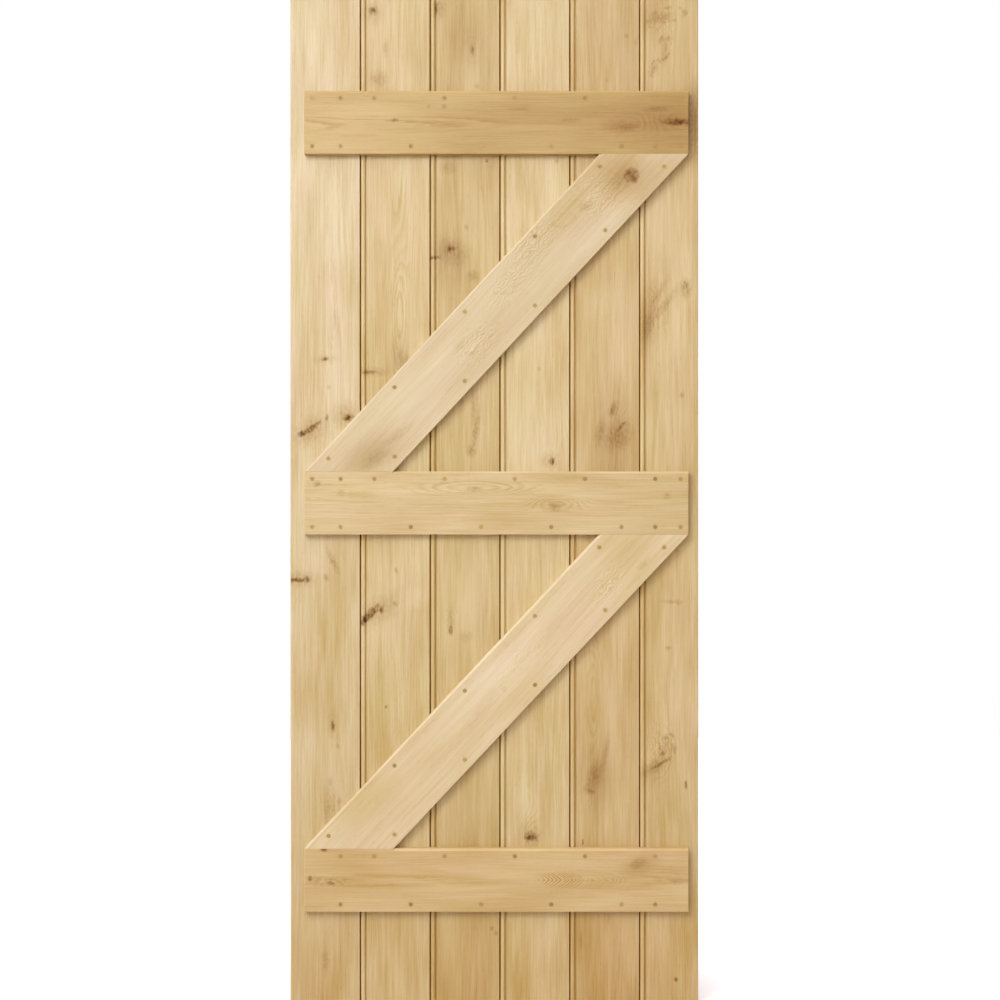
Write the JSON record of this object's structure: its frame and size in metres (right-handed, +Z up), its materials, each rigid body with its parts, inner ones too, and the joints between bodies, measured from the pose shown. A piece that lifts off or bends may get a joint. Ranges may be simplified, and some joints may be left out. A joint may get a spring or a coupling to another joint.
{
  "type": "ledged and braced door",
  "caption": "Oak ledged and braced door leaf: upright beaded tongue-and-groove boards held on one face by level ledges and sloping braces, screwed and pelleted.",
  "frame": {"origin": "middle of the leaf's foot, halfway through its thickness", "axes": "+Z up the leaf, +X from the hinge edge to the closing edge, -Y out of the ledged face"},
  "size_m": [0.826, 0.042, 2.04],
  "materials": {
    "oak_board": "planed and clear oiled, satin",
    "oak_ledge": "planed and clear oiled, satin",
    "oak_brace": "planed and clear oiled, satin",
    "pellet": "cut flush, clear oiled",
    "screw_steel": "zinc plated"
  },
  "bodies": {
    "root": {"board_1": "oak_board", "board_2": "oak_board", "board_3": "oak_board", "board_4": "oak_board", "board_5": "oak_board", "board_6": "oak_board", "top_ledge": "oak_ledge", "middle_ledge": "oak_ledge", "bottom_ledge": "oak_ledge", "upper_brace": "oak_brace", "lower_brace": "oak_brace", "top_ledge_screws": "screw_steel", "middle_ledge_screws": "screw_steel", "bottom_ledge_screws": "screw_steel", "upper_brace_screws": "screw_steel", "lower_brace_screws": "screw_steel", "top_ledge_pellets": "pellet", "middle_ledge_pellets": "pellet", "bottom_ledge_pellets": "pellet", "upper_brace_pellets": "pellet", "lower_brace_pellets": "pellet"}
  },
  "joints": []
}
